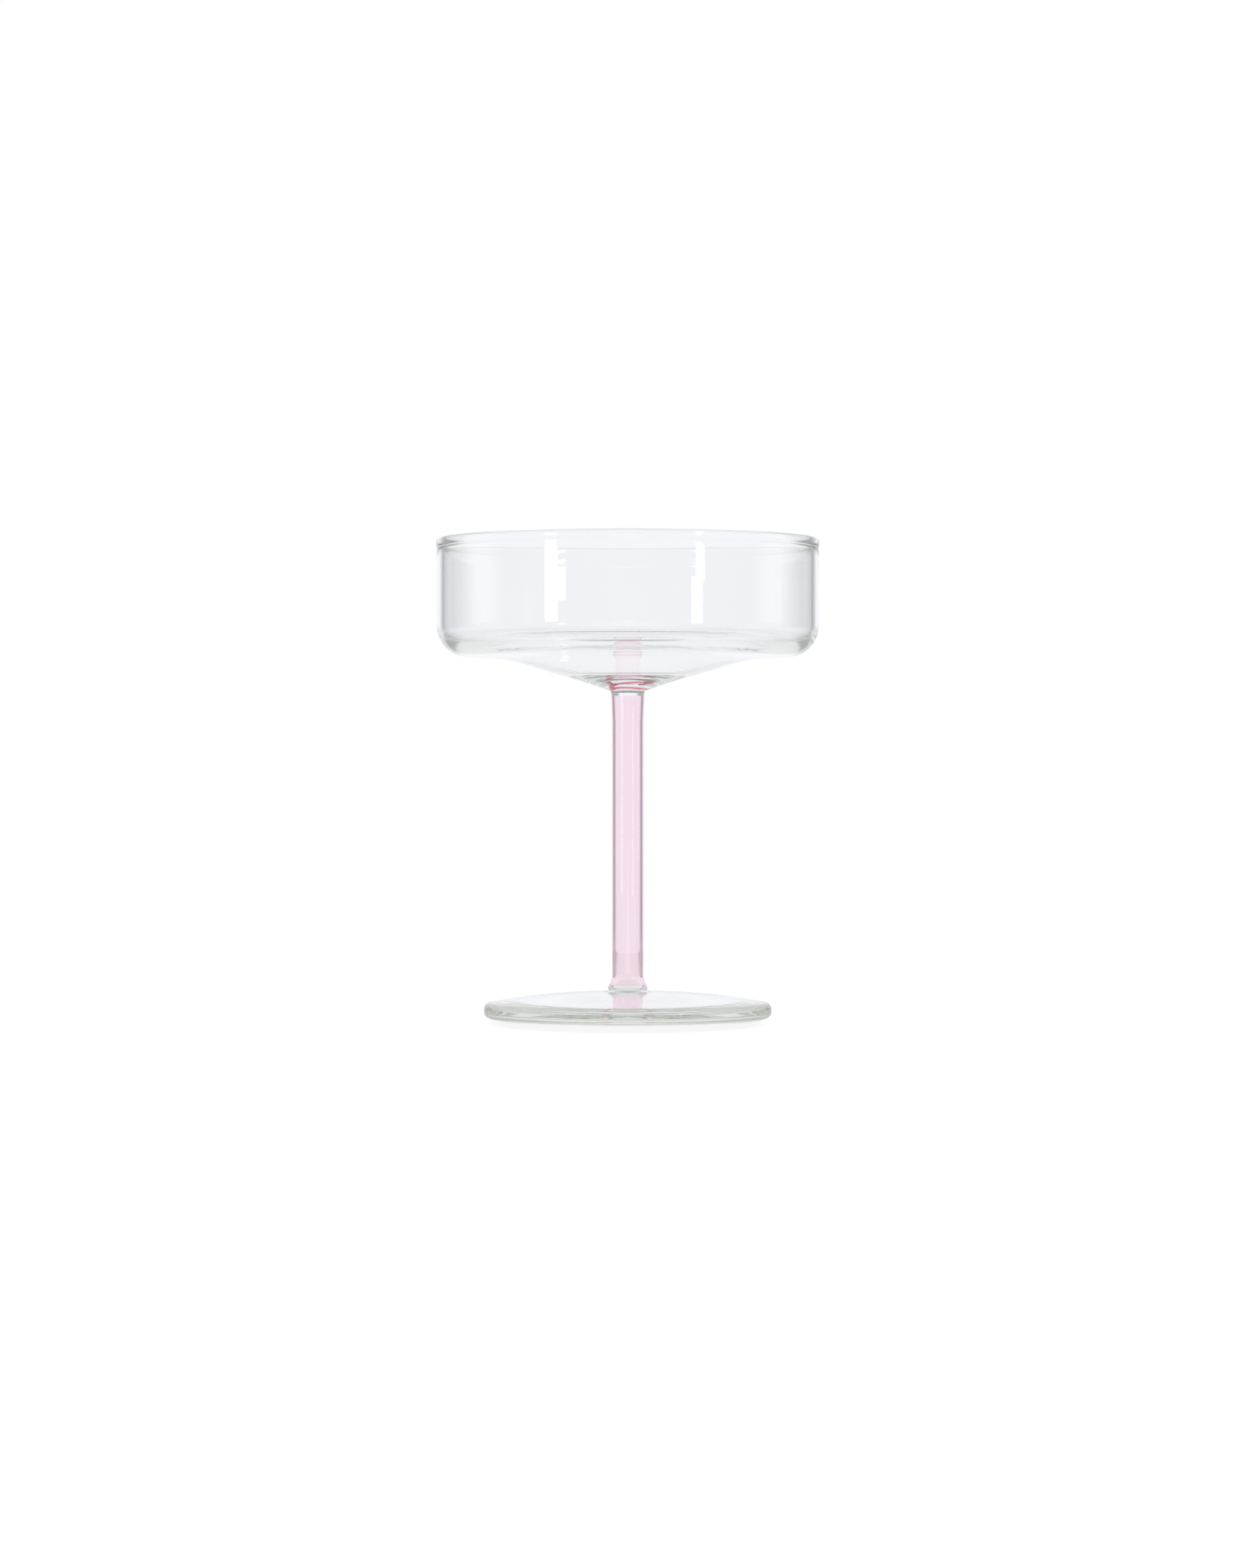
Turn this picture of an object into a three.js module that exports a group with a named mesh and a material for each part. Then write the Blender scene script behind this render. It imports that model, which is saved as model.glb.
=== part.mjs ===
// Champagne coupe in lampworked glass: a shallow straight-sided bowl, a hollow coloured stem and a thick
// domed foot, joined by two clear collars. Millimetres, +Z up, origin on the table under the glass's axis.

import * as THREE from "three";

// Foot: a domed disc that stands on a flat ring round a shallow hollow
const FOOT_DIAMETER = 75.4;
const FOOT_EDGE_THICKNESS = 3.9;
const FOOT_EDGE_ROUND = 1.7;
const FOOT_DOME_RISE = 3.1;
const FOOT_SEAT_DIAMETER = 12.8;
const FOOT_REST_WIDTH = 5;
const FOOT_HOLLOW_DEPTH = 2.4;

// Foot collar: the clear ring between the foot and the stem, with a bead over a groove
const FOOT_COLLAR_HEIGHT = 1.6;
const FOOT_COLLAR_BEAD = 0.25;
const FOOT_COLLAR_BEAD_HEIGHT = 1;
const FOOT_COLLAR_BEAD_ROUND = 0.4;
const FOOT_COLLAR_GROOVE_HEIGHT = 0.45;
const FOOT_COLLAR_GROOVE_ROUND = 0.3;

// Stem tube: straight, flared at the foot and slightly swollen under the bowl
const STEM_LENGTH = 75.8;
const STEM_DIAMETER = 8.2;
const STEM_WALL = 1;
const STEM_FOOT_DIAMETER = 10;
const STEM_FOOT_FLARE = 2;
const STEM_BOWL_DIAMETER = 8.7;
const STEM_BOWL_FLARE = 7;
const STEM_FLARE_ROUND = 3;

// Bowl collar: the clear knuckle that spreads from the stem to the bowl
const BOWL_COLLAR_DIAMETER = 19;
const BOWL_COLLAR_HEIGHT = 3;
const BOWL_COLLAR_NECK = 1.2;
const BOWL_COLLAR_ROUND = 2.5;

// Bowl: upright wall with a beaded rim, round corner, nearly level floor and a funnel to the stem
const BOWL_DIAMETER = 100;
const BOWL_HEIGHT = 38.1;
const BOWL_WALL = 1.8;
const BOWL_CORNER_ROUND = 10;
const BOWL_FLOOR_RISE = 0.9;
const BOWL_FLOOR_THICKNESS = 1.8;
const BOWL_FUNNEL_DIAMETER = 64;
const BOWL_FUNNEL_RISE = 6.7;
const BOWL_FUNNEL_ROUND = 30;
const BOWL_CENTRE_THICKNESS = 2.2;
const BOWL_WELL_DIAMETER = 20;
const BOWL_WELL_ROUND = 24;
const RIM_BEAD = 0.2;
const RIM_BEAD_HEIGHT = 2.6;
const RIM_FADE = 3.5;

// Facets: parts of a full turn, and the largest turn between two points of a round stretch
const TURN_SEGMENTS = 52;
const ARC_STEP = THREE.MathUtils.degToRad(13);
const DOME_STEPS = 8;

// Look of the glass
const CLEAR_COLOUR = 0xeef1ee;
const PINK_COLOUR = 0xe9c6d6;
const GLASS_ROUGHNESS = 0.04;
const GLASS_OPACITY = 0.35;

// Heights of the planes where two pieces are fused, counted up from the table
const FOOT_TOP = FOOT_EDGE_THICKNESS + FOOT_DOME_RISE;
const STEM_FOOT_END = FOOT_TOP + FOOT_COLLAR_HEIGHT;
const STEM_BOWL_END = STEM_FOOT_END + STEM_LENGTH;
const BOWL_SEAT = STEM_BOWL_END + BOWL_COLLAR_HEIGHT;
const RIM_TOP = BOWL_SEAT + BOWL_HEIGHT;

/** One corner of an outline, at a radius and a height, with the radius that rounds it. */
function corner(radius, height, round = 0) {
  return { at: new THREE.Vector2(radius, height), round };
}

/** Arc that rounds one corner, held within half of each side that meets there. */
function roundCorner(before, middle, after) {
  const back = before.at.clone().sub(middle.at);
  const ahead = after.at.clone().sub(middle.at);
  const reach = Math.min(back.length(), ahead.length()) / 2;
  back.normalize();
  ahead.normalize();
  const halfAngle = Math.acos(THREE.MathUtils.clamp(back.dot(ahead), -1, 1)) / 2;
  const setback = Math.min(middle.round / Math.tan(halfAngle), reach);
  const start = middle.at.clone().addScaledVector(back, setback);
  const end = middle.at.clone().addScaledVector(ahead, setback);
  const toCentre = back.clone().add(ahead).normalize();
  const centre = middle.at.clone().addScaledVector(toCentre, setback / Math.cos(halfAngle));
  const turn = Math.PI - 2 * halfAngle;
  const steps = Math.max(2, Math.ceil(turn / ARC_STEP));
  const side = Math.sign(back.cross(ahead));
  return Array.from({ length: steps + 1 }, (_, step) => {
    if (step === steps) {
      return end;
    }
    return start.clone().rotateAround(centre, (-side * turn * step) / steps);
  });
}

/** Points along an outline whose corners are rounded; its two ends stay as they are. */
function roundedOutline(corners) {
  return corners.flatMap((middle, index) => {
    const before = corners[index - 1];
    const after = corners[index + 1];
    return before && after && middle.round > 0 ? roundCorner(before, middle, after) : [middle.at];
  });
}

/** Unrounded corners along a shallow arc that is level at its inner end and drops towards its outer end. */
function domeCorners(innerRadius, outerRadius, innerHeight, drop) {
  const span = outerRadius - innerRadius;
  const arcRadius = (span * span + drop * drop) / (2 * drop);
  const sweep = Math.asin(span / arcRadius);
  return Array.from({ length: DOME_STEPS }, (_, step) => {
    const angle = (sweep * step) / DOME_STEPS;
    return corner(innerRadius + arcRadius * Math.sin(angle), innerHeight - arcRadius * (1 - Math.cos(angle)));
  });
}

/** Solid of revolution about +Z from an outline that starts and ends on the axis or closes on itself. */
function turned(name, outline, colour) {
  const geometry = new THREE.LatheGeometry(outline, TURN_SEGMENTS);
  geometry.rotateX(Math.PI / 2);
  const material = new THREE.MeshStandardMaterial({
    color: colour,
    roughness: GLASS_ROUGHNESS,
    metalness: 0,
    transparent: true,
    opacity: GLASS_OPACITY,
  });
  const mesh = new THREE.Mesh(geometry, material);
  mesh.name = name;
  return mesh;
}

/** Domed foot, hollowed a little underneath, with a round edge and a flat seat for its collar. */
function makeFoot() {
  const edge = FOOT_DIAMETER / 2;
  const seat = FOOT_SEAT_DIAMETER / 2;
  const restInner = edge - FOOT_EDGE_ROUND - FOOT_REST_WIDTH;
  const outline = roundedOutline([
    ...domeCorners(0, restInner, FOOT_HOLLOW_DEPTH, FOOT_HOLLOW_DEPTH),
    corner(restInner, 0),
    corner(edge, 0, FOOT_EDGE_ROUND),
    corner(edge, FOOT_EDGE_THICKNESS, FOOT_EDGE_ROUND),
    ...domeCorners(seat, edge, FOOT_TOP, FOOT_DOME_RISE).reverse(),
    corner(0, FOOT_TOP),
  ]);
  return turned("foot", outline, CLEAR_COLOUR);
}

/** Clear ring that spreads to the foot, with a groove and a rounded bead under the end of the stem. */
function makeFootCollar() {
  const stemEnd = STEM_FOOT_DIAMETER / 2;
  const bead = stemEnd + FOOT_COLLAR_BEAD;
  const outline = roundedOutline([
    corner(0, FOOT_TOP),
    corner(FOOT_SEAT_DIAMETER / 2, FOOT_TOP),
    corner(stemEnd, FOOT_TOP + FOOT_COLLAR_GROOVE_HEIGHT, FOOT_COLLAR_GROOVE_ROUND),
    corner(bead, FOOT_TOP + FOOT_COLLAR_BEAD_HEIGHT, FOOT_COLLAR_BEAD_ROUND),
    corner(stemEnd, STEM_FOOT_END),
    corner(0, STEM_FOOT_END),
  ]);
  return turned("foot_collar", outline, CLEAR_COLOUR);
}

/** Hollow stem whose wall follows the flare at the foot and the swelling under the bowl. */
function makeStemTube() {
  const flareEnd = STEM_FOOT_END + STEM_FOOT_FLARE;
  const swellStart = STEM_BOWL_END - STEM_BOWL_FLARE;
  const outside = [
    corner(STEM_FOOT_DIAMETER / 2, STEM_FOOT_END),
    corner(STEM_DIAMETER / 2, flareEnd, STEM_FLARE_ROUND),
    corner(STEM_DIAMETER / 2, swellStart),
    corner(STEM_BOWL_DIAMETER / 2, STEM_BOWL_END),
  ];
  const inside = outside.map(({ at, round }) => corner(at.x - STEM_WALL, at.y, round)).reverse();
  const outline = roundedOutline([...outside, ...inside]);
  return turned("stem_tube", [...outline, outline[0].clone()], PINK_COLOUR);
}

/** Clear knuckle: a short neck on the stem that spreads to the seat under the bowl. */
function makeBowlCollar() {
  const neck = STEM_BOWL_DIAMETER / 2;
  const outline = roundedOutline([
    corner(0, STEM_BOWL_END),
    corner(neck, STEM_BOWL_END),
    corner(neck, STEM_BOWL_END + BOWL_COLLAR_NECK, BOWL_COLLAR_ROUND),
    corner(BOWL_COLLAR_DIAMETER / 2, BOWL_SEAT),
    corner(0, BOWL_SEAT),
  ]);
  return turned("bowl_collar", outline, CLEAR_COLOUR);
}

/** Bowl: outside from the seat up to the beaded rim, then the inside down to the middle of the floor. */
function makeBowl() {
  const outer = BOWL_DIAMETER / 2;
  const inner = outer - BOWL_WALL;
  const funnel = BOWL_FUNNEL_DIAMETER / 2;
  const funnelTop = BOWL_SEAT + BOWL_FUNNEL_RISE;
  const floorEdge = funnelTop + BOWL_FLOOR_RISE;
  const beadFoot = RIM_TOP - RIM_BEAD_HEIGHT;
  const beadRound = (BOWL_WALL + 2 * RIM_BEAD) / 2;
  const outline = roundedOutline([
    corner(0, BOWL_SEAT),
    corner(BOWL_COLLAR_DIAMETER / 2, BOWL_SEAT),
    corner(funnel, funnelTop, BOWL_FUNNEL_ROUND),
    corner(outer, floorEdge, BOWL_CORNER_ROUND),
    corner(outer, beadFoot - RIM_FADE),
    corner(outer + RIM_BEAD, beadFoot),
    corner(outer + RIM_BEAD, RIM_TOP, beadRound),
    corner(inner - RIM_BEAD, RIM_TOP, beadRound),
    corner(inner - RIM_BEAD, beadFoot),
    corner(inner, beadFoot - RIM_FADE),
    corner(inner, floorEdge + BOWL_FLOOR_THICKNESS, BOWL_CORNER_ROUND - BOWL_WALL),
    corner(funnel, funnelTop + BOWL_FLOOR_THICKNESS, BOWL_FUNNEL_ROUND),
    corner(BOWL_WELL_DIAMETER / 2, BOWL_SEAT + BOWL_CENTRE_THICKNESS, BOWL_WELL_ROUND),
    corner(0, BOWL_SEAT + BOWL_CENTRE_THICKNESS),
  ]);
  return turned("bowl", outline, CLEAR_COLOUR);
}

const coupe = new THREE.Group();
coupe.add(makeFoot(), makeFootCollar(), makeStemTube(), makeBowlCollar(), makeBowl());

export default coupe;
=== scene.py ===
"""Champagne coupe in clear and pale pink glass, in a plain white studio.

Every length is in metres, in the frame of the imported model: +Z up, the foot on the table at Z = 0.
"""

from __future__ import annotations

import logging
import math
from dataclasses import dataclass, field, replace
from enum import Enum

import bpy
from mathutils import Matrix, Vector

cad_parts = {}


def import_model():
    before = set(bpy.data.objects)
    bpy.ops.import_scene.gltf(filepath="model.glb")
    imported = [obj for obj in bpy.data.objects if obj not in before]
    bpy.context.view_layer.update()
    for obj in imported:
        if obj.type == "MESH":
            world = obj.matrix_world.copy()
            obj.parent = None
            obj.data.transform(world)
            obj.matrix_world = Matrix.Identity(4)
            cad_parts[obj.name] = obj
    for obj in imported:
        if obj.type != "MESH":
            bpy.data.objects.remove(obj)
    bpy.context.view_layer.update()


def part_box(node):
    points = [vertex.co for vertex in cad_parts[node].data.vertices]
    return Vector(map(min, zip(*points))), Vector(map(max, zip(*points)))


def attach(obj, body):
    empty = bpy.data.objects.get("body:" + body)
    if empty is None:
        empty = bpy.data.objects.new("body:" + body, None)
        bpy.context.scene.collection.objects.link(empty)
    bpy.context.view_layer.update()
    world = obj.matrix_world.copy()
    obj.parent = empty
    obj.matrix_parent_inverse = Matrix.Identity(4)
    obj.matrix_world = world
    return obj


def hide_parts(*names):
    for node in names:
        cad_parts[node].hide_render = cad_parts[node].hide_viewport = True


LOG = logging.getLogger("coupe")
ROOT_BODY = "root"
MM = 0.001

# Mark on the faces that are melted to a neighbour, and how far such a face is drawn back
MELTED = "melted"
HAIR = 0.01 * MM

# Largest angle between two faces that are shaded as one smooth surface
CREASE = math.radians(35)

# Bounces of a ray of light, enough for the layers of glass
LIGHT_BOUNCES = 160

# Wall of the stem, and its radius at both ends, which the collars share
STEM_WALL = 0.7 * MM
STEM_FOOT_RADIUS = 5.0 * MM
STEM_TOP_RADIUS = 4.35 * MM

Point = tuple[float, float]
Span = tuple[float, float]
Triple = tuple[float, float, float]


class Glass(Enum):
    """The kinds of glass on the coupe."""

    CLEAR = "clear_glass"
    FOOT = "foot_glass"
    PINK = "pink_glass"
    # Painted reflection of the pink stem in the knuckle, not a glass of the coupe
    FOLD = "painted_stem_reflection"


@dataclass(frozen=True)
class Corner:
    """One corner of a turned outline.

    Attributes:
        radius: Distance from the axis.
        height: Height over the table.
        round: Radius that rounds the corner.
    """

    radius: float
    height: float
    round: float = 0.0

    @property
    def at(self) -> Vector:
        """Place of the corner in the outline's plane."""
        return Vector((self.radius, self.height))


@dataclass(frozen=True)
class Outline:
    """Half section of a turned piece, with round corners and short even steps.

    Attributes:
        corners: Corners in order, from the axis back to the axis, or round a ring.
        ring: True where the outline closes on itself away from the axis.
        arc_step: Largest turn between two points of a round stretch.
        longest: Longest straight step between two points.
    """

    corners: tuple[Corner, ...]
    ring: bool = False
    arc_step: float = math.radians(5)
    longest: float = 1.2 * MM

    def _rounded(self, before: Corner, middle: Corner, after: Corner) -> list[Vector]:
        """Points of the arc that rounds one corner, held within half of each side that meets there.

        Args:
            before: Corner before it.
            middle: Corner to round.
            after: Corner after it.

        Returns:
            Points from the start to the end of the arc.
        """
        back = before.at - middle.at
        ahead = after.at - middle.at
        reach = min(back.length, ahead.length) / 2
        back.normalize()
        ahead.normalize()
        half = math.acos(max(-1.0, min(1.0, back.dot(ahead)))) / 2
        setback = min(middle.round / math.tan(half), reach)
        start = middle.at + back * setback
        centre = middle.at + (back + ahead).normalized() * (setback / math.cos(half))
        turn = math.pi - 2 * half
        side = math.copysign(1.0, back.x * ahead.y - back.y * ahead.x)
        steps = max(2, math.ceil(turn / self.arc_step))
        spoke = start - centre
        points = []
        for step in range(steps + 1):
            angle = -side * turn * step / steps
            cos, sin = math.cos(angle), math.sin(angle)
            points.append(centre + Vector((spoke.x * cos - spoke.y * sin, spoke.x * sin + spoke.y * cos)))
        return points

    def points(self) -> list[Point]:
        """Points of the whole outline.

        Returns:
            Radius and height of each point; a ring ends where it starts.
        """
        rounded: list[Vector] = []
        last = len(self.corners) - 1
        for index, middle in enumerate(self.corners):
            if middle.round > 0 and 0 < index < last:
                rounded += self._rounded(self.corners[index - 1], middle, self.corners[index + 1])
            else:
                rounded.append(middle.at)
        if self.ring:
            rounded.append(rounded[0])
        stepped = [rounded[0]]
        for here, there in zip(rounded, rounded[1:]):
            parts = max(1, math.ceil((there - here).length / self.longest))
            stepped += [here.lerp(there, part / parts) for part in range(1, parts + 1)]
        return [(point.x, point.y) for point in stepped]


def dome(inner: float, outer: float, height: float, drop: float, steps: int = 10) -> list[Corner]:
    """Corners along a shallow arc that is level at its inner end.

    Args:
        inner: Radius of the inner end.
        outer: Radius that the arc runs towards.
        height: Height of the inner end.
        drop: Drop from the inner to the outer end.
        steps: Number of corners, without the outer end.

    Returns:
        The corners, from the inner end outwards.
    """
    span = outer - inner
    arc = (span * span + drop * drop) / (2 * drop)
    sweep = math.asin(span / arc)
    angles = [sweep * step / steps for step in range(steps)]
    return [Corner(inner + arc * math.sin(a), height - arc * (1 - math.cos(a))) for a in angles]


@dataclass(frozen=True)
class Lathe:
    """Turns outlines into closed glass bodies in edit mode.

    Attributes:
        segments: Steps of a full turn.
        merge: Distance within which points at the seam and on the axis become one.
    """

    segments: int = 192
    merge: float = 0.001 * MM

    def turn(self, name: str, outline: Outline) -> bpy.types.Object:
        """Draws an outline point by point and spins it about the axis.

        Args:
            name: Name of the new piece.
            outline: Half section to spin.

        Returns:
            The closed piece, at the origin.
        """
        points = outline.points()
        first = points[0]
        bpy.ops.object.select_all(action="DESELECT")
        bpy.ops.mesh.primitive_plane_add(size=MM, location=(0.0, 0.0, 0.0))
        piece = bpy.context.object
        piece.name = piece.data.name = name
        bpy.ops.object.mode_set(mode="EDIT")
        bpy.ops.mesh.select_all(action="SELECT")
        bpy.ops.mesh.merge(type="CENTER")
        bpy.ops.transform.translate(value=(first[0], 0.0, first[1]))
        for here, there in zip(points, points[1:]):
            step = (there[0] - here[0], 0.0, there[1] - here[1])
            bpy.ops.mesh.extrude_region_move(TRANSFORM_OT_translate={"value": step})
        bpy.ops.mesh.select_all(action="SELECT")
        bpy.ops.mesh.spin(steps=self.segments, angle=math.tau, center=(0.0, 0.0, 0.0), axis=(0.0, 0.0, 1.0))
        bpy.ops.mesh.select_all(action="SELECT")
        bpy.ops.mesh.remove_doubles(threshold=self.merge)
        bpy.ops.mesh.normals_make_consistent(inside=False)
        bpy.ops.object.mode_set(mode="OBJECT")
        bpy.ops.object.shade_smooth_by_angle(angle=CREASE)
        return piece


@dataclass(frozen=True)
class GlassFinish:
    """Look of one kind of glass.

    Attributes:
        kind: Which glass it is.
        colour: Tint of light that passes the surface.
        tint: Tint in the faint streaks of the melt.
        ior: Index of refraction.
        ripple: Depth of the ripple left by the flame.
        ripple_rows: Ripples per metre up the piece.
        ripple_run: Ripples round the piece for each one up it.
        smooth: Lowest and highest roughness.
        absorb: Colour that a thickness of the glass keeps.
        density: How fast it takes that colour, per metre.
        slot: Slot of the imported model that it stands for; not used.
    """

    kind: Glass
    colour: Triple
    tint: Triple
    ior: float
    ripple: float
    ripple_rows: float
    ripple_run: float
    smooth: Span
    absorb: Triple
    density: float
    slot: str


CLEAR_FINISH = GlassFinish(
    kind=Glass.CLEAR,
    colour=(0.994, 0.997, 1.0),
    tint=(0.985, 0.990, 0.995),
    ior=1.47,
    ripple=0.02 * MM,
    ripple_rows=150.0,
    ripple_run=0.12,
    smooth=(0.0, 0.012),
    absorb=(0.30, 0.36, 0.12),
    density=2.8,
    slot="clear_glass",
)
FOOT_FINISH = replace(CLEAR_FINISH, kind=Glass.FOOT, ripple=0.015 * MM, ripple_rows=350.0, ripple_run=0.015)
PINK_FINISH = GlassFinish(
    kind=Glass.PINK,
    colour=(1.0, 0.985, 0.993),
    tint=(0.995, 0.97, 0.982),
    ior=1.47,
    ripple=0.008 * MM,
    ripple_rows=90.0,
    ripple_run=0.12,
    smooth=(0.0, 0.012),
    absorb=(0.97, 0.12, 0.54),
    density=125.0,
    slot="pink_glass",
)
# Pink of the painted reflection of the stem in the knuckle; at an index of 1 it tints the light without
# bending it
PAINTED_REFLECTION_FINISH = GlassFinish(
    kind=Glass.FOLD,
    colour=(0.97, 0.80, 0.84),
    tint=(0.94, 0.70, 0.76),
    ior=1.0,
    ripple=0.004 * MM,
    ripple_rows=400.0,
    ripple_run=0.5,
    smooth=(0.0, 0.012),
    absorb=(0.86, 0.12, 0.30),
    density=1100.0,
    slot="pink_glass",
)


class GlassShop:
    """Makes the glass materials and the node group that they share.

    Attributes:
        ripple_detail: Finer layers in the ripple.
        ripple_grain: Weight of each finer layer.
        streak_rows: Streaks of the melt per metre.
        streak_detail: Finer layers in a streak.
        tint_span: Streak values where the tint starts and is full.
        dull_span: Streak values where the surface starts to dull and is dullest.
    """

    ripple_detail: float = 2.0
    ripple_grain: float = 0.45
    streak_rows: float = 60.0
    streak_detail: float = 3.0
    tint_span: Span = (0.35, 0.75)
    dull_span: Span = (0.5, 0.8)

    def __init__(self) -> None:
        """Builds the shared group and starts with no material made."""
        self.flame = self._flame_group()
        self.made: dict[Glass, bpy.types.Material] = {}

    def _flame_group(self) -> bpy.types.NodeTree:
        """Group with the marks of flame work: rows of ripple round the axis and streaks in the melt.

        Returns:
            The group, with Rows and Run in, and Height and Streak out.
        """
        group = bpy.data.node_groups.new("flame_work", "ShaderNodeTree")
        for name in ("Rows", "Run"):
            group.interface.new_socket(name, in_out="INPUT", socket_type="NodeSocketFloat")
        for name in ("Height", "Streak"):
            group.interface.new_socket(name, in_out="OUTPUT", socket_type="NodeSocketFloat")
        nodes, links = group.nodes, group.links
        entry = nodes.new("NodeGroupInput")
        leave = nodes.new("NodeGroupOutput")
        place = nodes.new("ShaderNodeTexCoord")
        ratio = nodes.new("ShaderNodeCombineXYZ")
        ratio.inputs["Z"].default_value = 1.0
        links.new(entry.outputs["Run"], ratio.inputs["X"])
        links.new(entry.outputs["Run"], ratio.inputs["Y"])
        squeeze = nodes.new("ShaderNodeMapping")
        links.new(ratio.outputs["Vector"], squeeze.inputs["Scale"])
        links.new(place.outputs["Object"], squeeze.inputs["Vector"])
        ripple = nodes.new("ShaderNodeTexNoise")
        ripple.inputs["Detail"].default_value = self.ripple_detail
        ripple.inputs["Roughness"].default_value = self.ripple_grain
        links.new(squeeze.outputs["Vector"], ripple.inputs["Vector"])
        links.new(entry.outputs["Rows"], ripple.inputs["Scale"])
        links.new(ripple.outputs["Fac"], leave.inputs["Height"])
        streak = nodes.new("ShaderNodeTexNoise")
        streak.inputs["Scale"].default_value = self.streak_rows
        streak.inputs["Detail"].default_value = self.streak_detail
        links.new(place.outputs["Object"], streak.inputs["Vector"])
        links.new(streak.outputs["Fac"], leave.inputs["Streak"])
        return group

    def material(self, finish: GlassFinish) -> bpy.types.Material:
        """Material of one glass, made on first use.

        Args:
            finish: Look of the glass.

        Returns:
            The material.
        """
        if finish.kind not in self.made:
            self.made[finish.kind] = self._make(finish)
        return self.made[finish.kind]

    def _make(self, finish: GlassFinish) -> bpy.types.Material:
        """Makes the material of one glass.

        Args:
            finish: Look of the glass.

        Returns:
            The new material.
        """
        material = bpy.data.materials.new(finish.kind.value)
        material.use_nodes = True
        tree = material.node_tree
        shader = tree.nodes["Principled BSDF"]
        shader.inputs["IOR"].default_value = finish.ior
        shader.inputs["Transmission Weight"].default_value = 1.0
        flame = tree.nodes.new("ShaderNodeGroup")
        flame.node_tree = self.flame
        flame.inputs["Rows"].default_value = finish.ripple_rows
        flame.inputs["Run"].default_value = finish.ripple_run
        self._add_ripple(tree, flame.outputs["Height"], finish)
        self._add_streaks(tree, flame.outputs["Streak"], finish)
        self._open_melted(tree)
        soak = tree.nodes.new("ShaderNodeVolumeAbsorption")
        soak.inputs["Color"].default_value = (*finish.absorb, 1.0)
        soak.inputs["Density"].default_value = finish.density
        tree.links.new(soak.outputs["Volume"], tree.nodes["Material Output"].inputs["Volume"])
        return material

    @staticmethod
    def _add_ripple(tree: bpy.types.NodeTree, height: bpy.types.NodeSocket, finish: GlassFinish) -> None:
        """Bends the surface along the ripple.

        Args:
            tree: Nodes of the material.
            height: Height of the ripple.
            finish: Look of the glass.
        """
        bump = tree.nodes.new("ShaderNodeBump")
        bump.inputs["Strength"].default_value = 1.0
        bump.inputs["Distance"].default_value = finish.ripple
        tree.links.new(height, bump.inputs["Height"])
        tree.links.new(bump.outputs["Normal"], tree.nodes["Principled BSDF"].inputs["Normal"])

    def _add_streaks(
        self, tree: bpy.types.NodeTree, streak: bpy.types.NodeSocket, finish: GlassFinish
    ) -> None:
        """Tints and dulls the surface along the streaks of the melt.

        Args:
            tree: Nodes of the material.
            streak: Strength of the streaks.
            finish: Look of the glass.
        """
        shader = tree.nodes["Principled BSDF"]
        tint = tree.nodes.new("ShaderNodeValToRGB")
        colours = (finish.colour, finish.tint)
        for stop, place, colour in zip(tint.color_ramp.elements, self.tint_span, colours):
            stop.position = place
            stop.color = (*colour, 1.0)
        tree.links.new(streak, tint.inputs["Fac"])
        tree.links.new(tint.outputs["Color"], shader.inputs["Base Color"])
        dull = tree.nodes.new("ShaderNodeMapRange")
        dull.inputs["From Min"].default_value, dull.inputs["From Max"].default_value = self.dull_span
        dull.inputs["To Min"].default_value, dull.inputs["To Max"].default_value = finish.smooth
        tree.links.new(streak, dull.inputs["Value"])
        tree.links.new(dull.outputs["Result"], shader.inputs["Roughness"])

    @staticmethod
    def _open_melted(tree: bpy.types.NodeTree) -> None:
        """Lets light through the faces that are melted to a neighbour.

        Args:
            tree: Nodes of the material.
        """
        joint = tree.nodes.new("ShaderNodeAttribute")
        joint.attribute_name = MELTED
        surface = tree.nodes.new("ShaderNodeMath")
        surface.operation = "SUBTRACT"
        surface.inputs[0].default_value = 1.0
        tree.links.new(joint.outputs["Fac"], surface.inputs[1])
        tree.links.new(surface.outputs["Value"], tree.nodes["Principled BSDF"].inputs["Alpha"])


@dataclass(frozen=True)
class Joint:
    """Level face of a piece that is melted to its neighbour, drawn back by a hair from the other face.

    Attributes:
        height: Height of the face.
        inner: Radius where it starts.
        outer: Radius where it ends.
    """

    height: float
    inner: float
    outer: float

    def holds(self, face: bpy.types.MeshPolygon) -> bool:
        """Tells whether a face of the piece lies on the joint.

        Args:
            face: Face to look at.

        Returns:
            True where it does.
        """
        middle = face.center
        radius = math.hypot(middle.x, middle.y)
        return abs(middle.z - self.height) < HAIR / 2 and self.inner - HAIR < radius < self.outer


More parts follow.
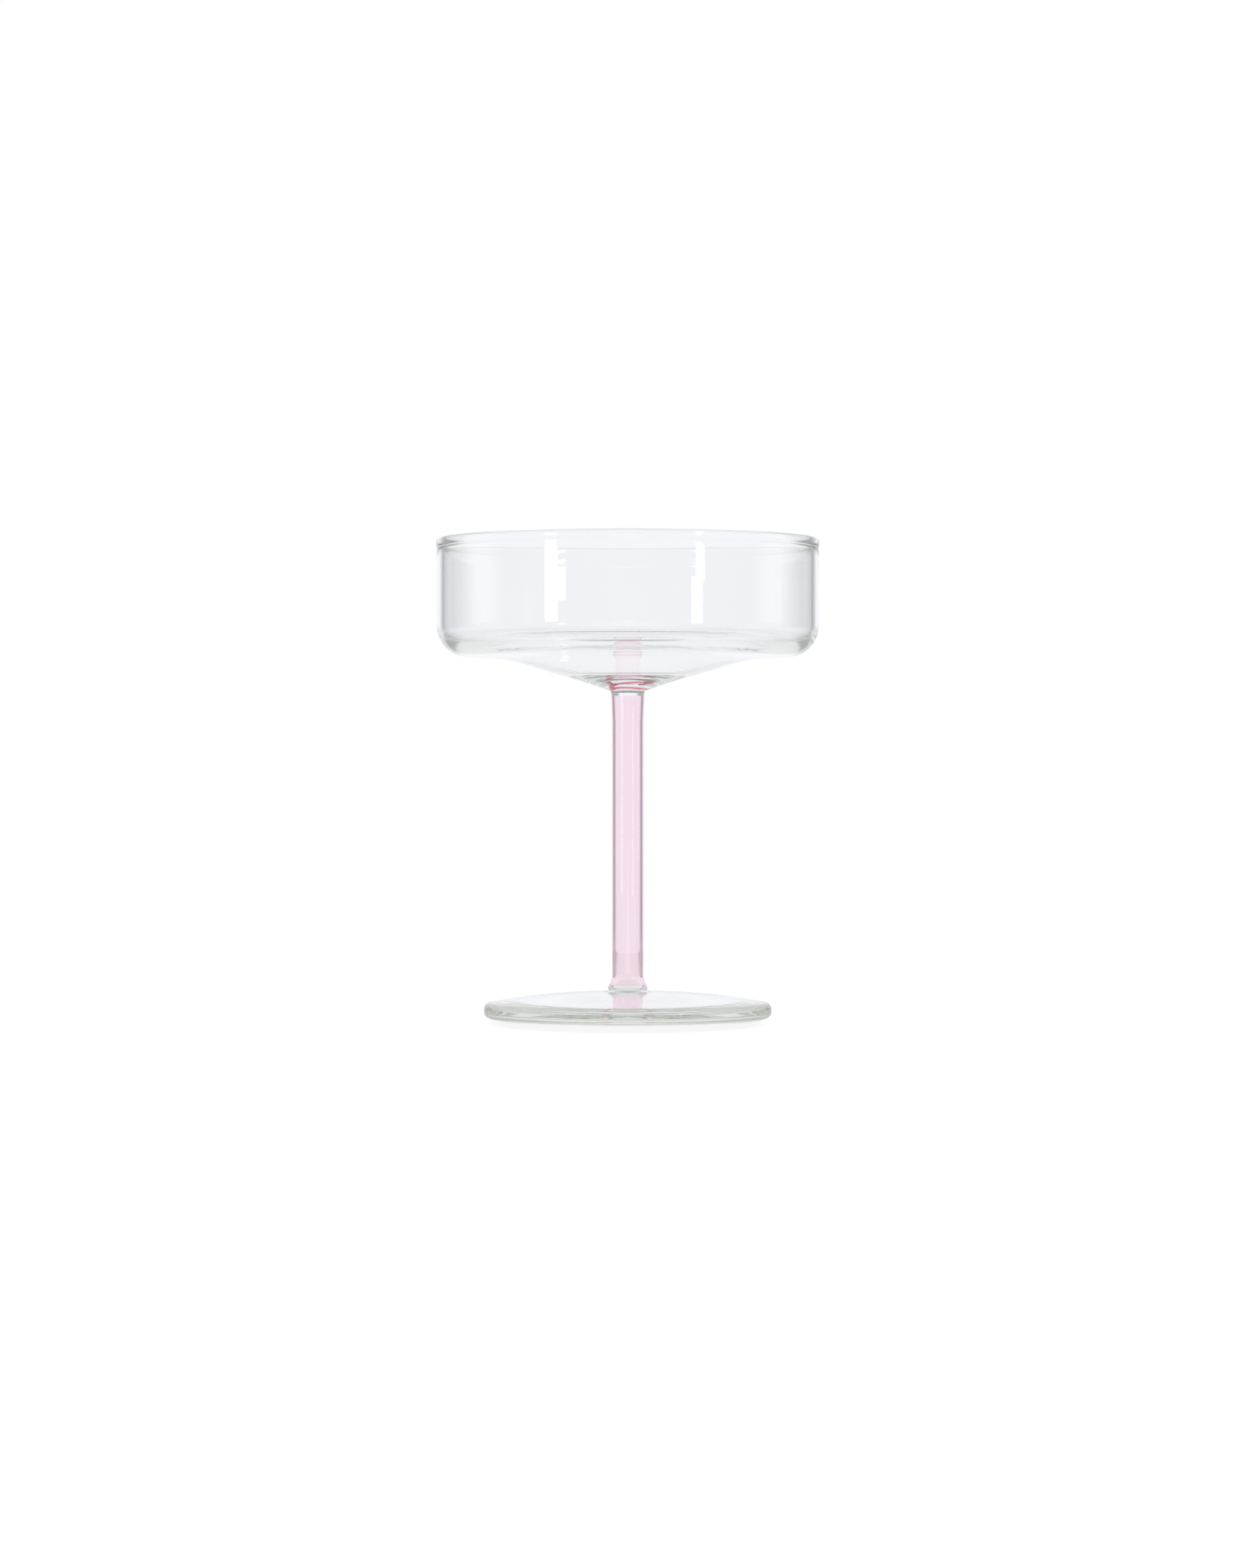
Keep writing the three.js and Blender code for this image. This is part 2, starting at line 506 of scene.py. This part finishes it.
@dataclass
class GlassPiece:
    """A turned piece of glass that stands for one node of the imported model.

    Attributes:
        node: Name of the node and of the piece's place in the assembly.
        finish: Glass that it is made of.
        joints: Level faces that are melted to a neighbour, set with the outline.
        piece: The turned piece, once it is made.
    """

    node: str = ""
    finish: GlassFinish = CLEAR_FINISH
    joints: tuple[Joint, ...] = ()
    piece: bpy.types.Object | None = field(default=None, init=False)

    def outline(self) -> Outline:
        """Half section of the piece; each kind of piece gives its own."""
        raise NotImplementedError

    def dress(self, shop: GlassShop) -> None:
        """Puts the glass on the piece and opens the faces that are melted to a neighbour.

        Args:
            shop: Maker of the materials.
        """
        mesh = self.piece.data
        mesh.materials.append(shop.material(self.finish))
        melted = [any(joint.holds(face) for joint in self.joints) for face in mesh.polygons]
        mark = mesh.attributes.new(MELTED, "FLOAT", "FACE")
        mark.data.foreach_set("value", [float(held) for held in melted])
        mesh.polygons.foreach_set("select", melted)
        mesh.edges.foreach_set("select", [False] * len(mesh.edges))
        mesh.vertices.foreach_set("select", [False] * len(mesh.vertices))
        bpy.ops.object.mode_set(mode="EDIT")
        bpy.ops.mesh.select_mode(type="FACE")
        bpy.ops.mesh.region_to_loop()
        bpy.ops.mesh.mark_sharp()
        bpy.ops.mesh.select_mode(type="VERT")
        bpy.ops.object.mode_set(mode="OBJECT")

    def build(self, lathe: Lathe, shop: GlassShop) -> bpy.types.Object:
        """Turns and dresses the piece and puts it in the node's place.

        Args:
            lathe: Tool that turns the outline.
            shop: Maker of the materials.

        Returns:
            The finished piece.
        """
        self.piece = lathe.turn(f"{self.node}_glass", self.outline())
        self.dress(shop)
        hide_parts(self.node)
        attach(self.piece, ROOT_BODY)
        return self.piece


def low_high(node: str) -> Span:
    """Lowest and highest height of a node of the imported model."""
    low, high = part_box(node)
    return low[2], high[2]


def half_width(node: str) -> float:
    """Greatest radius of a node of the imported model."""
    low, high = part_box(node)
    return (high[0] - low[0]) / 2


@dataclass
class Foot(GlassPiece):
    """Thick domed foot with a round edge, standing on a ring round a shallow hollow.

    Attributes:
        edge_thickness: Height of the edge.
        edge_round: Radius that rounds the edge, above and below.
        seat_radius: Radius of the level seat under the collar.
        rest_width: Width of the ring that stands on the table.
        hollow: Depth of the hollow underneath.
    """

    node: str = "foot"
    finish: GlassFinish = FOOT_FINISH
    edge_thickness: float = 3.9 * MM
    edge_round: float = 1.7 * MM
    seat_radius: float = 6.4 * MM
    rest_width: float = 5.0 * MM
    hollow: float = 2.4 * MM

    def outline(self) -> Outline:
        """Draws the foot from the hollow underneath, round the edge and over the dome.

        Returns:
            Half section of the foot.
        """
        _, top = low_high(self.node)
        edge = half_width(self.node)
        rest = edge - self.edge_round - self.rest_width
        seat = top - HAIR
        self.joints = (Joint(seat, 0.0, self.seat_radius),)
        return Outline((
            *dome(0.0, rest, self.hollow, self.hollow),
            Corner(rest, 0.0, self.edge_round),
            Corner(edge, 0.0, self.edge_round),
            Corner(edge, self.edge_thickness, self.edge_round),
            *reversed(dome(self.seat_radius, edge, seat, seat - self.edge_thickness)),
            Corner(0.0, seat),
        ))


@dataclass
class FootCollar(GlassPiece):
    """Clear ring between the foot and the stem, with a round bead over a groove.

    Attributes:
        stem_radius: Radius of the stem's end.
        bore_radius: Radius of the bore in the stem's end.
        bead: How far the bead stands out from the stem.
        bead_height: Height of the bead's middle over the foot.
        bead_round: Radius that rounds the bead.
        groove_height: Height of the groove over the foot.
        groove_round: Radius that rounds the groove.
        finest: Longest straight step of the outline.
    """

    node: str = "foot_collar"
    stem_radius: float = STEM_FOOT_RADIUS
    bore_radius: float = STEM_FOOT_RADIUS - STEM_WALL
    bead: float = 0.25 * MM
    bead_height: float = 1.0 * MM
    bead_round: float = 0.4 * MM
    groove_height: float = 0.45 * MM
    groove_round: float = 0.3 * MM
    finest: float = 0.2 * MM

    def outline(self) -> Outline:
        """Draws the ring from the foot's seat, over the bead, to the end of the stem.

        Returns:
            Half section of the ring.
        """
        low, high = low_high(self.node)
        under, over = low + HAIR, high - HAIR
        foot = half_width(self.node)
        self.joints = (Joint(under, 0.0, foot), Joint(over, self.bore_radius, self.stem_radius))
        corners = (
            Corner(0.0, under),
            Corner(foot, under),
            Corner(self.stem_radius, low + self.groove_height, self.groove_round),
            Corner(self.stem_radius + self.bead, low + self.bead_height, self.bead_round),
            Corner(self.stem_radius, over),
            Corner(self.bore_radius, over),
            Corner(0.0, over),
        )
        return Outline(corners, longest=self.finest)


@dataclass
class StemTube(GlassPiece):
    """Hollow pink stem, flared at the foot and a little swollen under the bowl.

    Attributes:
        radius: Radius of the straight run.
        wall: Thickness of the tube's wall.
        foot_flare: Height of the flare at the foot.
        bowl_radius: Radius of the end under the bowl.
        bowl_flare: Height of the swelling under the bowl.
        flare_round: Radius that rounds the flare into the straight run.
        swell_round: Radius that rounds the straight run into the swelling.
    """

    node: str = "stem_tube"
    finish: GlassFinish = PINK_FINISH
    radius: float = 4.1 * MM
    wall: float = STEM_WALL
    foot_flare: float = 2.0 * MM
    bowl_radius: float = STEM_TOP_RADIUS
    bowl_flare: float = 7.0 * MM
    flare_round: float = 3.0 * MM
    swell_round: float = 40.0 * MM

    def outline(self) -> Outline:
        """Draws the tube's wall, up the outside and down the bore.

        Returns:
            Half section of the tube.
        """
        low, high = low_high(self.node)
        under, over = low + HAIR, high - HAIR
        flared = half_width(self.node)
        self.joints = (
            Joint(under, flared - self.wall, flared),
            Joint(over, self.bowl_radius - self.wall, self.bowl_radius),
        )
        outside = [
            Corner(flared, under),
            Corner(self.radius, low + self.foot_flare, self.flare_round),
            Corner(self.radius, high - self.bowl_flare, self.swell_round),
            Corner(self.bowl_radius, over),
        ]
        bore = [Corner(c.radius - self.wall, c.height, c.round) for c in reversed(outside)]
        return Outline((*outside, *bore), ring=True)


@dataclass
class BowlCollar(GlassPiece):
    """Clear knuckle that spreads from the stem to the seat under the bowl.

    Attributes:
        neck_radius: Radius of the neck on the stem's end.
        bore_radius: Radius of the bore in the stem's end.
        neck: Height of the neck.
        spread_round: Radius that rounds the neck into the spread.
        finest: Longest straight step of the outline.
    """

    node: str = "bowl_collar"
    neck_radius: float = STEM_TOP_RADIUS
    bore_radius: float = STEM_TOP_RADIUS - STEM_WALL
    neck: float = 1.2 * MM
    spread_round: float = 2.5 * MM
    finest: float = 0.4 * MM

    def outline(self) -> Outline:
        """Draws the knuckle from the stem's end, up the neck, out to the bowl's seat.

        Returns:
            Half section of the knuckle.
        """
        low, high = low_high(self.node)
        under, over = low + HAIR, high - HAIR
        seat = half_width(self.node)
        self.joints = (Joint(under, self.bore_radius, self.neck_radius), Joint(over, 0.0, seat))
        corners = (
            Corner(0.0, under),
            Corner(self.bore_radius, under),
            Corner(self.neck_radius, under),
            Corner(self.neck_radius, low + self.neck, self.spread_round),
            Corner(seat, over),
            Corner(0.0, over),
        )
        return Outline(corners, longest=self.finest)


@dataclass
class Bowl(GlassPiece):
    """Shallow bowl with an upright wall, a beaded rim, a round corner and a funnel floor.

    Attributes:
        seat_radius: Radius of the seat on the knuckle.
        wall: Thickness of the upright wall.
        bead: How far the rim's bead stands out from the wall.
        inner_bead: How far it stands in.
        bead_height: Height of the bead.
        rim_fade: Height over which the bead fades into the wall.
        corner_round: Radius that rounds the lower corner outside.
        inner_round: Radius that rounds the lower corner inside.
        floor_rise: Rise of the floor from the funnel's edge to the wall.
        floor_thickness: Thickness of the floor at the wall.
        funnel_thickness: Thickness of the floor at the funnel's edge.
        funnel_radius: Radius of the funnel's edge.
        funnel_rise: Height of the funnel's edge over the seat.
        funnel_round: Radius that rounds the floor into the funnel.
        centre_thickness: Thickness of the glass over the seat.
        well_radius: Radius of the level well inside.
        well_round: Radius that rounds the funnel into the well.
    """

    node: str = "bowl"
    seat_radius: float = 9.5 * MM
    wall: float = 1.8 * MM
    bead: float = 0.2 * MM
    inner_bead: float = 0.45 * MM
    bead_height: float = 1.5 * MM
    rim_fade: float = 1.2 * MM
    corner_round: float = 8.0 * MM
    inner_round: float = 5.4 * MM
    floor_rise: float = 0.9 * MM
    floor_thickness: float = 2.8 * MM
    funnel_thickness: float = 2.2 * MM
    funnel_radius: float = 32.0 * MM
    funnel_rise: float = 6.7 * MM
    funnel_round: float = 30.0 * MM
    centre_thickness: float = 2.2 * MM
    well_radius: float = 13.0 * MM
    well_round: float = 24.0 * MM

    def outline(self) -> Outline:
        """Draws the bowl from the seat up the outside, over the bead and down the inside.

        Returns:
            Half section of the bowl.
        """
        seat, top = low_high(self.node)
        lip = half_width(self.node)
        outer = lip - self.bead
        inner = outer - self.wall
        throat = inner - self.inner_bead
        bead_round = (lip - throat) / 2
        bead_foot = top - self.bead_height
        funnel_top = seat + self.funnel_rise
        floor_edge = funnel_top + self.floor_rise
        centre = seat + self.centre_thickness
        under = seat + HAIR
        self.joints = (Joint(under, 0.0, self.seat_radius),)
        return Outline((
            Corner(0.0, under),
            Corner(self.seat_radius, under),
            Corner(self.funnel_radius, funnel_top, self.funnel_round),
            Corner(outer, floor_edge, self.corner_round),
            Corner(outer, bead_foot - self.rim_fade, self.corner_round),
            Corner(lip, bead_foot, self.corner_round),
            Corner(lip, top, bead_round),
            Corner(throat, top, bead_round),
            Corner(throat, bead_foot, self.corner_round),
            Corner(inner, bead_foot - self.rim_fade, self.corner_round),
            Corner(inner, floor_edge + self.floor_thickness, self.inner_round),
            Corner(self.funnel_radius, funnel_top + self.funnel_thickness, self.funnel_round),
            Corner(self.well_radius, centre, self.well_round),
            Corner(0.0, centre),
        ))


@dataclass
class PaintedStemReflection:
    """Bent thread of pink in the clear knuckle over the stem: a painted reflection, standing for the images
    of the pink stem that the knuckle reflects and bends.

    Attributes:
        name: Name of the piece.
        node: Node of the knuckle, whose lower end is the stem's end.
        finish: Glass that it is made of.
        radius: Radius of the turn.
        thickness: Half the thickness of the thread.
        rise: Height of the turn's middle over the stem's end.
        shift: Distance of the turn's middle to the right of the axis.
        turn: Degrees that the thread goes round, from the right; less than zero goes by way of the front.
        lean: Degrees that it leans; less than zero is down to the right.
        sides: Sides of the thread's round section.
        steps: Steps along the thread.
    """

    name: str = "painted_stem_reflection"
    node: str = "bowl_collar"
    finish: GlassFinish = PAINTED_REFLECTION_FINISH
    radius: float = 4.4 * MM
    thickness: float = 0.65 * MM
    rise: float = 3.2 * MM
    shift: float = 0.8 * MM
    turn: float = -210.0
    lean: float = -12.0
    sides: int = 16
    steps: int = 120

    def build(self, shop: GlassShop) -> bpy.types.Object:
        """Winds the thread and hangs it in the clear glass over the stem.

        Args:
            shop: Maker of the materials.

        Returns:
            The finished thread.
        """
        low, _ = low_high(self.node)
        upright = (math.pi / 2, 0.0, 0.0)
        bpy.ops.object.select_all(action="DESELECT")
        bpy.ops.mesh.primitive_circle_add(vertices=self.sides, radius=self.thickness, rotation=upright)
        bpy.ops.object.transform_apply(rotation=True)
        thread = bpy.context.object
        thread.name = thread.data.name = self.name
        bpy.ops.object.mode_set(mode="EDIT")
        bpy.ops.mesh.select_all(action="SELECT")
        bpy.ops.transform.translate(value=(self.radius, 0.0, 0.0))
        bpy.ops.object.mode_set(mode="OBJECT")
        wind = thread.modifiers.new("wind", "SCREW")
        wind.axis = "Z"
        wind.angle = math.radians(self.turn)
        wind.steps = wind.render_steps = self.steps
        bpy.ops.object.modifier_apply(modifier=wind.name)
        bpy.ops.object.mode_set(mode="EDIT")
        bpy.ops.mesh.select_all(action="SELECT")
        bpy.ops.mesh.fill_holes(sides=0)
        bpy.ops.mesh.select_all(action="SELECT")
        bpy.ops.mesh.normals_make_consistent(inside=False)
        bpy.ops.transform.rotate(
            value=math.radians(self.lean), orient_axis="Y", center_override=(0.0, 0.0, 0.0)
        )
        bpy.ops.transform.translate(value=(self.shift, 0.0, low + self.rise))
        bpy.ops.object.mode_set(mode="OBJECT")
        bpy.ops.object.shade_smooth_by_angle(angle=CREASE)
        thread.data.materials.append(shop.material(self.finish))
        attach(thread, ROOT_BODY)
        return thread


@dataclass(frozen=True)
class Strip:
    """Tall soft light that shows as a white strip in the bowl's wall.

    Attributes:
        name: Name of the lamp.
        angle: Degrees to the right of the camera, seen from the glass.
        width: Width of the light.
        span: Lowest and highest height of the light.
        glow: Brightness, where 1 is white.
    """

    name: str
    angle: float
    width: float
    span: Span
    glow: float


@dataclass
class Studio:
    """White table and backdrop, two strip lights in front, and the camera.

    The surroundings are told by direction from the glass: X to the right, Y away from the camera, Z up.

    Attributes:
        distance: From the camera to its target.
        elevation: Of the camera over the table, in degrees.
        target: Point in the middle of the picture.
        picture_height: Height of the picture at the target.
        sensor_width: Width of the camera's sensor, in millimetres.
        sight: Farthest distance that the camera sees.
        table_size: Half the table's side, and how far it reaches behind the glass.
        table_drop: How far the table lies under the foot.
        table_colour: Colour of the table under the lights.
        table_roughness: Roughness of the table.
        table_glow: Glow of the table towards the camera, in the painted shadow and away from it.
        painted_shadow_middle: Middle of the foot's painted shadow.
        painted_shadow_size: Half the painted shadow's size.
        painted_shadow_fade: Share of that size where the painted shadow starts to fade and is gone.
        table_through: Glow of the table where it is seen in the glass, in the middle and far to the sides.
        table_side: Distance to the side where that change starts and ends.
        painted_under_shade: Share of that glow under the foot, a painted shade, and away from it.
        painted_under_edge: Distance from the axis where that painted shade starts and ends.
        strip_distance: From the axis to the strip lights.
        left_strip: Light on the left.
        right_strip: Light on the right.
        air: Colour of the surroundings in the glass.
        back_light: Brightness behind the glass.
        front_light: Brightness behind the camera.
        front_edge: Y where the front ends and the back starts.
        flag_light: Brightness of the grey flag on each side.
        flag_shift: How far the flags stand to the left.
        flag_edge: X where a flag starts and is full.
        flag_end: Y where a flag starts and is full.
        flag_top: Z, up or down, where a flag starts to fade and is gone.
        ceiling_light: Share of the brightness that is left overhead.
        ceiling_edge: Z where the dimming overhead starts and is full.
    """

    distance: float = 1.2
    elevation: float = 0.0
    target: Triple = (-0.0002, 0.0, 0.0613)
    picture_height: float = 0.4107
    sensor_width: float = 36.0
    sight: float = 4.8
    table_size: Span = (2.4, 0.457)
    table_drop: float = 0.02 * MM
    table_colour: Triple = (0.5, 0.5, 0.5)
    table_roughness: float = 0.9
    table_glow: Span = (0.7, 1.0)
    painted_shadow_middle: Triple = (0.0, -0.030, 0.0)
    painted_shadow_size: Triple = (0.041, 0.051, 1.0)
    painted_shadow_fade: Span = (0.75, 1.15)
    table_through: Span = (0.66, 0.3)
    table_side: Span = (0.05, 0.16)
    painted_under_shade: Span = (0.55, 1.0)
    painted_under_edge: Span = (0.033, 0.040)
    strip_distance: float = 1.3
    left_strip: Strip = Strip("left_strip", -46.0, 0.17, (0.0, 0.19), 3.0)
    right_strip: Strip = Strip("right_strip", 43.5, 0.11, (0.165, 0.5), 3.0)
    air: Triple = (0.965, 0.972, 1.0)
    back_light: float = 0.99
    front_light: float = 0.55
    front_edge: Span = (-0.15, 0.15)
    flag_light: float = 0.42
    flag_shift: float = 0.01
    flag_edge: Span = (0.3, 0.5)
    flag_end: Span = (0.25, 0.6)
    flag_top: Span = (0.1, 0.25)
    ceiling_light: float = 0.4
    ceiling_edge: Span = (0.4, 0.85)

    @staticmethod
    def _step(
        tree: bpy.types.NodeTree, source: bpy.types.NodeSocket, span: Span, ends: Span
    ) -> bpy.types.NodeSocket:
        """Soft step of a value.

        Args:
            tree: Node tree that gets the step.
            source: Value to follow.
            span: Values where the step starts and ends.
            ends: Result before and after the step.

        Returns:
            The stepped value.
        """
        node = tree.nodes.new("ShaderNodeMapRange")
        node.interpolation_type = "SMOOTHSTEP"
        node.inputs["From Min"].default_value, node.inputs["From Max"].default_value = span
        node.inputs["To Min"].default_value, node.inputs["To Max"].default_value = ends
        tree.links.new(source, node.inputs["Value"])
        return node.outputs["Result"]

    @staticmethod
    def _math(
        tree: bpy.types.NodeTree, operation: str, *values: bpy.types.NodeSocket | float
    ) -> bpy.types.NodeSocket:
        """Value worked out from others.

        Args:
            tree: Node tree that gets the operation.
            operation: What to do with the values.
            values: Sockets to link or plain numbers, in the order of the inputs.

        Returns:
            The result.
        """
        node = tree.nodes.new("ShaderNodeMath")
        node.operation = operation
        for entry, value in zip(node.inputs, values):
            if isinstance(value, float):
                entry.default_value = value
            else:
                tree.links.new(value, entry)
        return node.outputs["Value"]

    @staticmethod
    def _vector(
        tree: bpy.types.NodeTree, operation: str, source: bpy.types.NodeSocket, other: Triple
    ) -> bpy.types.NodeSocket:
        """Vector worked out from another and a fixed one.

        Args:
            tree: Node tree that gets the operation.
            operation: What to do with the two vectors.
            source: The first vector.
            other: The fixed one.

        Returns:
            The resulting vector.
        """
        node = tree.nodes.new("ShaderNodeVectorMath")
        node.operation = operation
        node.inputs[1].default_value = other
        tree.links.new(source, node.inputs[0])
        return node.outputs["Vector"]

    @staticmethod
    def _length(tree: bpy.types.NodeTree, source: bpy.types.NodeSocket) -> bpy.types.NodeSocket:
        """Length of a vector.

        Args:
            tree: Node tree that gets the operation.
            source: The vector.

        Returns:
            The length.
        """
        node = tree.nodes.new("ShaderNodeVectorMath")
        node.operation = "LENGTH"
        tree.links.new(source, node.inputs[0])
        return node.outputs["Value"]

    def camera(self) -> None:
        """Sets up a long lens at the photo's height and framing."""
        data = bpy.data.cameras.new("camera")
        camera = bpy.data.objects.new("camera", data)
        bpy.context.scene.collection.objects.link(camera)
        tilt = math.radians(self.elevation)
        back = Vector((0.0, -math.cos(tilt), math.sin(tilt)))
        camera.location = Vector(self.target) + back * self.distance
        camera.rotation_mode = "QUATERNION"
        camera.rotation_quaternion = (-back).to_track_quat("-Z", "Y")
        data.sensor_width = self.sensor_width
        data.lens = self.sensor_width * self.distance / self.picture_height
        data.clip_end = self.sight
        bpy.context.scene.camera = camera

    def table(self) -> None:
        """Lays the pale table under the glass."""
        reach, behind = self.table_size
        bpy.ops.object.select_all(action="DESELECT")
        bpy.ops.mesh.primitive_plane_add(size=2 * reach, location=(0.0, behind - reach, -self.table_drop))
        bpy.ops.object.transform_apply(location=True)
        table = bpy.context.object
        table.name = table.data.name = "table"
        table.data.materials.append(self._table_top())

    def _table_top(self) -> bpy.types.Material:
        """Material that is white to the camera, with real and painted shadow before the foot, and dimmer in
        the glass, with painted shade under it.

        Returns:
            The material of the table.
        """
        material = bpy.data.materials.new("white_table")
        material.use_nodes = True
        tree = material.node_tree
        shader = tree.nodes["Principled BSDF"]
        shader.inputs["Base Color"].default_value = (*self.table_colour, 1.0)
        shader.inputs["Roughness"].default_value = self.table_roughness
        shader.inputs["Specular IOR Level"].default_value = 0.0
        shader.inputs["Emission Color"].default_value = (1.0, 1.0, 1.0, 1.0)
        place = tree.nodes.new("ShaderNodeTexCoord").outputs["Object"]
        path = tree.nodes.new("ShaderNodeLightPath").outputs
        # Painted shadow: the glow towards the camera is dimmer in an oval in front of the foot
        offset = self._vector(tree, "SUBTRACT", place, self.painted_shadow_middle)
        oval = self._vector(tree, "DIVIDE", offset, self.painted_shadow_size)
        shade = self._step(tree, self._length(tree, oval), self.painted_shadow_fade, self.table_glow)
        seen = self._math(tree, "MULTIPLY", path["Is Camera Ray"], shade)
        split = tree.nodes.new("ShaderNodeSeparateXYZ")
        tree.links.new(place, split.inputs["Vector"])
        aside = self._math(tree, "ABSOLUTE", split.outputs["X"])
        sides = self._step(tree, aside, self.table_side, self.table_through)
        # Painted shade: the glow seen in the glass is dimmer under the foot
        under = self._step(tree, self._length(tree, place), self.painted_under_edge, self.painted_under_shade)
        through = self._math(tree, "MAXIMUM", path["Is Glossy Ray"], path["Is Transmission Ray"])
        inside = self._math(tree, "MULTIPLY", sides, under)
        glow = self._math(tree, "MULTIPLY_ADD", through, inside, seen)
        tree.links.new(glow, shader.inputs["Emission Strength"])
        return material

    def surroundings(self) -> None:
        """Makes a world that is white behind the glass, with a grey flag on each side.

        The camera itself sees plain white.
        """
        world = bpy.data.worlds.new("studio")
        world.use_nodes = True
        bpy.context.scene.world = world
        tree = world.node_tree
        place = tree.nodes.new("ShaderNodeTexCoord")
        split = tree.nodes.new("ShaderNodeSeparateXYZ")
        tree.links.new(place.outputs["Generated"], split.inputs["Vector"])
        right, away, up = (split.outputs[axis] for axis in "XYZ")
        aside = self._math(tree, "ABSOLUTE", self._math(tree, "ADD", right, self.flag_shift))
        width = self._step(tree, aside, self.flag_edge, (0.0, 1.0))
        height = self._step(tree, self._math(tree, "ABSOLUTE", up), self.flag_top, (1.0, 0.0))
        depth = self._step(tree, away, self.flag_end, (0.0, 1.0))
        flag = self._math(tree, "MULTIPLY", self._math(tree, "MULTIPLY", width, height), depth)
        bare = self._step(tree, away, self.front_edge, (self.front_light, self.back_light))
        dim = self._step(tree, up, self.ceiling_edge, (1.0, self.ceiling_light))
        wall = self._math(tree, "MULTIPLY", bare, dim)
        drop = self._math(tree, "SUBTRACT", self.flag_light, wall)
        light = self._math(tree, "MULTIPLY_ADD", drop, flag, wall)
        lit = tree.nodes["Background"]
        lit.inputs["Color"].default_value = (*self.air, 1.0)
        tree.links.new(light, lit.inputs["Strength"])
        white = tree.nodes.new("ShaderNodeBackground")
        white.inputs["Color"].default_value = (1.0, 1.0, 1.0, 1.0)
        path = tree.nodes.new("ShaderNodeLightPath")
        pick = tree.nodes.new("ShaderNodeMixShader")
        tree.links.new(path.outputs["Is Camera Ray"], pick.inputs["Fac"])
        tree.links.new(lit.outputs["Background"], pick.inputs[1])
        tree.links.new(white.outputs["Background"], pick.inputs[2])
        tree.links.new(pick.outputs["Shader"], tree.nodes["World Output"].inputs["Surface"])

    def strip(self, light: Strip) -> None:
        """Hangs one strip light in front of the glass, turned to it.

        Args:
            light: The strip to hang.
        """
        low, high = light.span
        data = bpy.data.lights.new(light.name, "AREA")
        data.shape = "RECTANGLE"
        data.size, data.size_y = light.width, high - low
        data.energy = light.glow * math.pi * data.size * data.size_y
        lamp = bpy.data.objects.new(light.name, data)
        bpy.context.scene.collection.objects.link(lamp)
        turn = math.radians(light.angle)
        ahead = Vector((math.sin(turn), -math.cos(turn), 0.0))
        lamp.location = ahead * self.strip_distance + Vector((0.0, 0.0, (low + high) / 2))
        lamp.rotation_mode = "QUATERNION"
        lamp.rotation_quaternion = (-ahead).to_track_quat("-Z", "Y")

    def build(self) -> None:
        """Sets up the camera, the table, the surroundings and the two strip lights."""
        self.camera()
        self.table()
        self.surroundings()
        for light in (self.left_strip, self.right_strip):
            self.strip(light)


def set_colours_and_bounces() -> None:
    """Sets plain colours, and lets light pass through every layer of glass."""
    scene = bpy.context.scene
    scene.view_settings.view_transform = "Standard"
    scene.cycles.max_bounces = LIGHT_BOUNCES
    scene.cycles.transmission_bounces = LIGHT_BOUNCES
    scene.cycles.glossy_bounces = LIGHT_BOUNCES
    scene.cycles.transparent_max_bounces = LIGHT_BOUNCES


def report(piece: bpy.types.Object) -> None:
    """Logs a finished piece and its number of faces."""
    LOG.info("%s: %d faces", piece.name, len(piece.data.polygons))


def main() -> None:
    """Builds the studio and the glass, piece by piece, from the foot up."""
    logging.basicConfig(level=logging.INFO, format="%(name)s: %(message)s")
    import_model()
    set_colours_and_bounces()
    Studio().build()
    lathe = Lathe()
    shop = GlassShop()
    for part in (Foot(), FootCollar(), StemTube(), BowlCollar(), Bowl()):
        report(part.build(lathe, shop))
    # Painted reflection of the pink stem in the knuckle
    report(PaintedStemReflection().build(shop))


if __name__ == "__main__":
    main()
